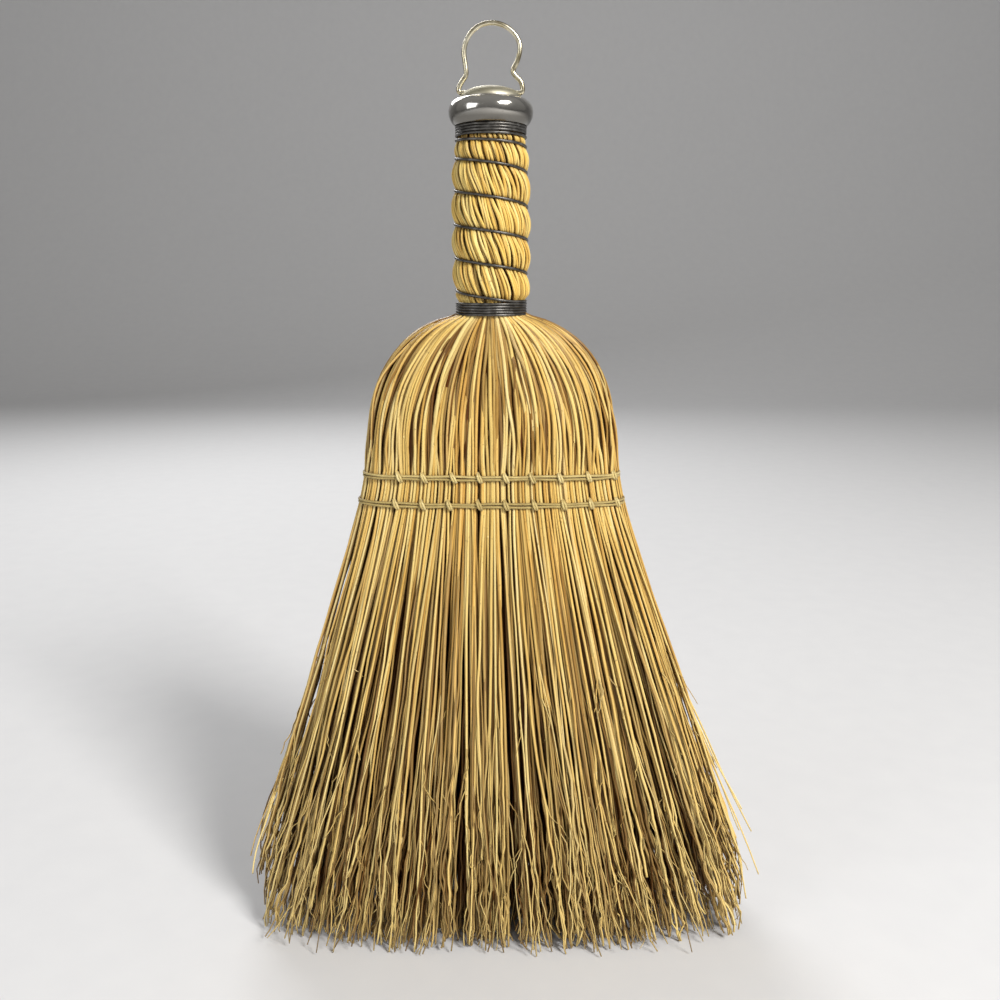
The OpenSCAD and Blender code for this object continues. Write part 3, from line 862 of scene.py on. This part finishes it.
def stalk_surface(a, z):
    """Radius of the handle's surface, pinched under each turn of the wire, and how near the wire is."""
    t = turns_at(WRAP_TOP - z)
    f = (TOP_BAND_TURNS + t - (a - math.pi) / TAU) % 1.0
    local = np.where(t < RAMP_TURNS, BAND_PITCH + 2 * RAMP_RATE * t, WRAP_PITCH)
    swell = SWELL * (local / WRAP_PITCH) ** 0.8 * np.sin(math.pi * f) ** 0.72
    open_part = unit((z - WRAP_LOW) / 2.2) * unit((WRAP_TOP - z) / 0.8)
    near = np.exp(-(np.minimum(f, 1 - f) * local / 0.95) ** 2)
    return wire_radius(z) - VALLEY + swell * open_part - 0.2 * np.clip(z - TOP_BAND_Z - 0.4, 0, None), near


def handle_stalks():
    """Three layers of slanting stalks that follow the handle's pinched surface."""
    tubes = Tubes()
    for layer, (count, sunk, size, rings, sides) in enumerate(HANDLE_LAYERS):
        z = np.concatenate([np.linspace(STALK_TOP, 291, 4), np.linspace(290, STALK_LOW, rings)])
        base = TAU * (np.arange(count) + rng.uniform(-0.3, 0.3, count)) / count
        zz = np.broadcast_to(z, (count, len(z)))
        a = base[:, None] + STALK_TURN * (STALK_TOP - zz)
        a = a + rng.normal(0, 0.0022, (count, 1)) * (zz - 262)
        for length, amount in ((41.0, 0.03), (21.0, 0.017), (11.0, 0.007)):
            a = a + amount * np.sin(TAU * zz / length + rng.uniform(0, TAU, (count, 1)))
        thickness = np.clip(rng.normal(size, 0.13, count), 0.72, 1.4)[:, None]
        ride = 0.2 * np.sin(TAU * zz / 27 + rng.uniform(0, TAU, (count, 1)))
        surface, near = stalk_surface(a, zz)
        r = surface - thickness / 2 - sunk - 0.16 + ride
        # Painted shade: deeper layers darker, and painted shadow on the stalks next to the wire.
        painted_shade = 1 - (1 - 0.42 * layer) * (1 - WIRE_SHADE * near)
        tubes.add(polar(r, a, zz), thickness / 2, sides, rng.beta(2.0, 1.5, count), painted_shade,
                  polar(1, a, 0), HANDLE_SIDE_SHADE)
    stand_for(tubes.build("handle_stalks_straws", handle_straw), "handle_stalks")


handle_stalks()

# ---- what is hidden in the handle
# Each ring of inner stalks: its radius, and how many.
CORE_RINGS = [(0, 1), (1.25, 6), (2.5, 12), (3.75, 18)]
TIE_TURNS = 4


def core_stalks():
    """The stiff inner stalks, under the outer straw."""
    low, high = box_mm("core_stalks")
    tubes = Tubes()
    z = np.linspace(high[2], low[2], 24)
    for ring, count in CORE_RINGS:
        a = TAU * np.arange(count)[:, None] / count + 0.004 * (z - low[2])
        r = ring + 0.12 * np.sin(z / 9 + rng.uniform(0, 6.28, (count, 1)))
        size = rng.uniform(1.1, 1.24, (count, 1)) / 2
        # The inner stalks carry an even painted shade of 0.35.
        tubes.add(polar(r, a, z), size, 7, rng.beta(2, 2, count), 0.35)
    stand_for(tubes.build("core_stalks_straws", handle_straw), "core_stalks")


def core_tie_wire():
    """The turns of wire that tie the inner stalks."""
    high = box_mm("core_tie_wire")[1]
    turns = np.linspace(0, TIE_TURNS, 260)
    z = high[2] - WIRE_D / 2 - BAND_PITCH * turns
    path = polar(high[0] - WIRE_D / 2, TAU * turns, z)[None]
    wire = Tubes().add(path, WIRE_D / 2, 10, [0.5], ref=(0.0, 0.0, 1.0))
    stand_for(wire.build("core_tie_winding", wire_mat), "core_tie_wire")


core_stalks()
core_tie_wire()

# ---- stitching twine
TWINE_D = 0.88
TWINE_CLEAR = 0.12
PLIES = 3
PLY_PITCH = 2.6
# How deep the strands press into the brush's faces.
PRESSED = 0.35


def twist_along(path):
    """How far the twine's plies have turned at each point of its path."""
    return (TAU * run_along(path) / PLY_PITCH)[None]


def plan_point(a, z, out):
    """A point on the brush's outline at a plan angle, moved outwards."""
    e = 2 / plan_power(z)
    return np.stack([bent(np.cos(a), e) * (half_w(z) + out),
                     bent(np.sin(a), e) * (half_t(z) + out - PRESSED), np.full_like(a, z)], -1)


def strand_ring(row_z, dz, seed):
    """One strand of twine round the brush at a row, with a slight wave."""
    local = np.random.default_rng(seed)
    a = np.linspace(0, TAU, 1201)
    path, even = evenly(plan_point(a, row_z, TWINE_D / 2 + TWINE_CLEAR), 560)
    phase = local.uniform(0, 6.28, 3)
    path[:, 2] += dz + 0.12 * np.sin(even * TAU * 5 / even[-1] + phase[0])
    path[:, 2] += 0.08 * np.sin(even * TAU * 13 / even[-1] + phase[1])
    return path[None]


def stitch_path(x, row_z, side, slant, shift):
    """One pass of a stitch over both strands, in from the brush and back into it."""
    t = np.linspace(-1, 1, 27)
    w, n = half_w(row_z), plan_power(row_z)
    face = half_t(row_z) * (1 - min(0.985, abs(x) / w) ** n) ** (1 / n) - PRESSED
    y = side * (face - 1.3 + (TWINE_D + 1.85) * (1 - t ** 4))
    return np.stack([x + shift * (1 - 0.75 * t ** 2) + slant * t, y, row_z - 1.75 * t], -1)[None]


def stitching(row_z, cord_node, loops_node, seed):
    """A row of stitching: two strands round the brush, and the stitches' passes on both faces."""
    local = np.random.default_rng(seed)
    cord = Tubes()
    for k, dz in enumerate((TWINE_D / 2 + 0.04, -TWINE_D / 2 - 0.04)):
        path = strand_ring(row_z, dz, seed + k)
        # Painted shade on the sides of the strands that turn away from the outside.
        cord.add(path, TWINE_D / 2, 12, [local.uniform(0, 0.5)], ref=outward(path),
                 side_shade=0.7, twist=twist_along(path[0]), lobes=PLIES, depth=0.12)
    stand_for(cord.build(cord_node + "_twine", twine_mat), cord_node)
    loops = Tubes()
    for u in stitch_u:
        x = u * half_w(row_z) + local.uniform(-0.5, 0.5)
        for side in (-1, 1):
            slant = local.uniform(0.4, 0.95)
            for shift in (-0.45, 0.45):
                path = stitch_path(x, row_z, side, slant, shift + local.uniform(-0.05, 0.05))
                # Painted shade on the sides of the stitches that turn away from the face.
                loops.add(path, TWINE_D / 2, 12, [local.uniform(0.3, 0.9)], ref=(0.0, side, 0.0),
                          side_shade=0.5, twist=twist_along(path[0]), lobes=PLIES, depth=0.1)
    stand_for(loops.build(loops_node + "_twine", twine_mat), loops_node)


stitching(UPPER_Z, "upper_stitch_cord", "upper_stitches", 101)
stitching(LOWER_Z, "lower_stitch_cord", "lower_stitches", 202)

# ---- the metal cap
# The cap's profile as (radius, height): a bead of two quarter ellipses, and a dome on top.
BEAD_C = (10.4, 294.8)
BEAD_R = 13.9
BEAD_UP, BEAD_DOWN = 3.8, 4.9
DOME_R, DOME_H = 10.0, 4.0
DOME_POWER = 2.2
LIP_Z = 290.34
CAP_WALL = 0.5
AROUND = 144
PIVOT_Z = frame["joints"][0]["pos_m"][2] / MM
LOOP_D = 1.6
PIVOT_CLEAR = 0.06
cap_rng = np.random.default_rng(5)


def arc(centre, rx, rz, a0, a1, steps):
    a = np.radians(np.linspace(a0, a1, steps))
    return np.stack([centre[0] + rx * np.cos(a), centre[1] + rz * np.sin(a)], -1)


def dome(inset, steps):
    """The dome's profile from the crease to the crown, set in from the outside."""
    a = np.radians(np.linspace(0, 90, steps))
    e = 2 / DOME_POWER
    return np.stack([(DOME_R - inset) * unit(np.cos(a)) ** e,
                     CREASE_Z + (DOME_H - inset) * np.sin(a) ** e], -1)


def cap_profile():
    """The shell's section, up its outside and down its inside."""
    lip = -math.degrees(math.asin((BEAD_C[1] - LIP_Z) / BEAD_DOWN))
    w = BEAD_R - BEAD_C[0]
    wi = w - CAP_WALL
    outer = [arc(BEAD_C, w, BEAD_DOWN, lip, -1, 26), arc(BEAD_C, w, BEAD_UP, 0, 90, 26), dome(0, 34)]
    inner = [dome(CAP_WALL, 18)[::-1], np.array([[DOME_R - CAP_WALL, CREASE_Z - CAP_WALL]]),
             arc(BEAD_C, wi, BEAD_UP - CAP_WALL, 88, 1, 14),
             arc(BEAD_C, wi, BEAD_DOWN - CAP_WALL, 0, lip, 16)]
    return np.concatenate(outer + inner)


def cap_shell():
    """The profile turned round the axis, with slight dents."""
    profile = cap_profile()
    rows = len(profile)
    a = TAU * np.arange(AROUND) / AROUND
    dent = np.zeros((rows, AROUND))
    for k in range(5):
        turn, tall = cap_rng.uniform(0, 6.28, 2)
        dent += np.cos((k + 2) * a + turn) * np.cos(profile[:, 1:] * (0.7 + 0.2 * k) + tall)
    r = profile[:, :1] * (1 + 0.0012 * dent)
    z = profile[:, 1:] + 0.012 * dent
    verts = polar(r, a, z).reshape(-1, 3)
    i, k = np.divmod(np.arange(rows * AROUND), AROUND)
    j, m = (i + 1) % rows, (k + 1) % AROUND
    faces = np.stack([i * AROUND + k, i * AROUND + m, j * AROUND + m, j * AROUND + k], -1).tolist()
    mesh = bpy.data.meshes.new("end_cap_shell")
    mesh.from_pydata((verts * MM).tolist(), [], faces)
    mesh.validate()
    return linked("end_cap_shell", mesh)


def clean_shell(obj):
    """Joins the points that fall together at the crown and turns every face outwards."""
    work = bmesh.new()
    work.from_mesh(obj.data)
    bmesh.ops.remove_doubles(work, verts=work.verts, dist=1e-6)
    bmesh.ops.recalc_face_normals(work, faces=work.faces)
    work.to_mesh(obj.data)
    work.free()


def bore(obj):
    """Cuts the two pivot holes through the dome's sides."""
    cutter_mesh = bpy.data.meshes.new("pivot_cutter")
    sides = 40
    a = TAU * np.arange(sides) / sides
    r = LOOP_D / 2 + PIVOT_CLEAR
    ring = np.stack([np.zeros(sides), r * np.cos(a), PIVOT_Z + r * np.sin(a)], -1)
    verts = np.concatenate([ring - [BEAD_R, 0, 0], ring + [BEAD_R, 0, 0]])
    faces = [(k, (k + 1) % sides, sides + (k + 1) % sides, sides + k) for k in range(sides)]
    faces += [tuple(range(sides - 1, -1, -1)), tuple(range(sides, 2 * sides))]
    cutter_mesh.from_pydata((verts * MM).tolist(), [], faces)
    cutter = linked("pivot_cutter", cutter_mesh)
    clean_shell(cutter)
    change = obj.modifiers.new("holes", "BOOLEAN")
    change.object = cutter
    change.operation = "DIFFERENCE"
    change.solver = "EXACT"
    bpy.context.view_layer.update()
    done = bpy.data.meshes.new_from_object(obj.evaluated_get(bpy.context.evaluated_depsgraph_get()))
    obj.modifiers.clear()
    obj.data = done
    bpy.data.objects.remove(cutter)


def end_cap():
    cap = cap_shell()
    clean_shell(cap)
    bore(cap)
    cap.data.materials.clear()
    cap.data.materials.append(cap_material())
    cap.data.shade_smooth()
    cap.data.set_sharp_from_angle(angle=math.radians(38))
    stand_for(cap, "end_cap")


end_cap()

# ---- the hanging loop
# The middle of the hand-bent wire as (x, height above the pivot), from one pin's end over the head
# to the other's.
LOOP_ROUTE = [(-6.4, 0.0), (-7.6, 0.0), (-8.8, 0.0), (-9.6, 0.0), (-10.3, 0.35), (-10.5, 1.2),
              (-10.1, 2.4), (-9.2, 3.8), (-8.3, 5.1), (-8.0, 6.4), (-8.3, 8.9), (-8.68, 11.8),
              (-8.45, 14.2), (-7.35, 16.9), (-5.4, 19.2), (-2.6, 20.8), (1.2, 21.28), (4.9, 20.2),
              (7.7, 18.0), (9.25, 15.3), (9.4, 12.7), (8.55, 9.6), (7.45, 7.4), (7.35, 6.2),
              (8.35, 5.0), (9.55, 3.9), (10.15, 2.6), (10.4, 1.25), (10.2, 0.4), (9.55, 0.0),
              (8.7, 0.0), (7.5, 0.0), (6.4, 0.0)]


def smooth_line(points, steps):
    """A Catmull-Rom curve through the points, cut into even steps."""
    points = np.array([points[0]] + list(points) + [points[-1]], float)
    t = np.linspace(0, 1, 16, endpoint=False)[:, None]
    runs = []
    for a, b, c, d in zip(points[:-3], points[1:-2], points[2:-1], points[3:]):
        runs.append(0.5 * (2 * b + (c - a) * t + (2 * a - 5 * b + 4 * c - d) * t ** 2
                           + (3 * b - a - 3 * c + d) * t ** 3))
    return evenly(np.concatenate(runs + [points[-1:]]), steps)


def hanging_loop():
    """The loop's wire, out of true by a fraction of a millimetre and a little worn."""
    route, even = smooth_line(LOOP_ROUTE, 320)
    share = even / even[-1]
    free = unit(route[:, 1] / 5)
    y = free * 0.15 * np.sin(TAU * share * 2)
    path = np.stack([route[:, 0], y, PIVOT_Z + route[:, 1]], -1)[None]
    radius = LOOP_D / 2 * (1 - 0.012 * (1 + np.sin(TAU * share * 7)) * free)[None]
    wire = Tubes().add(path, radius, 24, [0.5])
    stand_for(wire.build("hanging_loop_wire", loop_material()), "hanging_loop", "loop")


hanging_loop()

# ---- floor, light and camera
# The floor's half width, front and back edges, the radius of its sweep and the backdrop's top, in metres.
FLOOR_W, FLOOR_FRONT, FLOOR_BACK, SWEEP_R, BACKDROP_TOP = 9.0, -8.0, 1.6, 0.9, 6.0
# What the lights are turned to, in metres.
AIM = (0, 0, 0.17)
# The camera's place in metres, and how far it looks down.
CAMERA_AT = (0.003, -0.3478, 0.2409)
CAMERA_DOWN = 12.4


def floor():
    """A pale floor that sweeps up into a backdrop well behind the broom."""
    a = np.radians(np.linspace(6, 90, 14))
    deep = [*np.linspace(FLOOR_FRONT, FLOOR_BACK, 12), *(FLOOR_BACK + SWEEP_R * np.sin(a)),
            FLOOR_BACK + SWEEP_R]
    high = [*np.zeros(12), *(SWEEP_R - SWEEP_R * np.cos(a)), BACKDROP_TOP]
    verts = [(side * FLOOR_W, y, z) for y, z in zip(deep, high) for side in (-1, 1)]
    faces = [(2 * k, 2 * k + 1, 2 * k + 3, 2 * k + 2) for k in range(len(deep) - 1)]
    mesh = bpy.data.meshes.new("floor")
    mesh.from_pydata(verts, [], faces)
    mesh.shade_smooth()
    n = Nodes("pale_floor")
    grain = n.noise(n.place(), 60.0, 4.0)
    colour = n.mix(grain, (0.66, 0.66, 0.67, 1), (0.7, 0.7, 0.705, 1))
    mesh.materials.append(n.finish(Base_Color=colour, Roughness=0.9, Specular_IOR_Level=0.2))
    linked("floor", mesh)


def area_light(name, place, size, power, colour=(1, 1, 1)):
    data = bpy.data.lights.new(name, "AREA")
    data.shape = "RECTANGLE"
    data.size, data.size_y = size
    data.energy = power
    data.color = colour
    obj = linked(name, data)
    obj.location = place
    obj.rotation_euler = (Vector(AIM) - Vector(place)).to_track_quat("-Z", "Y").to_euler()


def studio():
    """A key light from the right, a weak fill, a rim light behind, and a soft grey room."""
    area_light("key", (0.85, -1.0, 1.08), (0.45, 0.45), 31.5, (1.0, 0.98, 0.95))
    area_light("fill", (-1.1, -0.8, 0.6), (0.7, 0.7), 4, (0.95, 0.97, 1.0))
    area_light("rim", (-0.4, 1.1, 1.0), (0.9, 0.5), 11)
    world = bpy.data.worlds.new("soft_room")
    world.use_nodes = True
    back = world.node_tree.nodes["Background"]
    back.inputs["Color"].default_value = (0.92, 0.91, 0.89, 1)
    back.inputs["Strength"].default_value = 0.24
    bpy.context.scene.world = world


def camera():
    data = bpy.data.cameras.new("camera")
    data.lens = 36
    data.sensor_width = 36
    data.clip_start = 0.01
    obj = linked("camera", data)
    obj.location = CAMERA_AT
    obj.rotation_euler = (math.radians(90 - CAMERA_DOWN), 0, 0)
    bpy.context.scene.camera = obj


floor()
studio()
camera()
bpy.context.scene.view_settings.view_transform = "Standard"
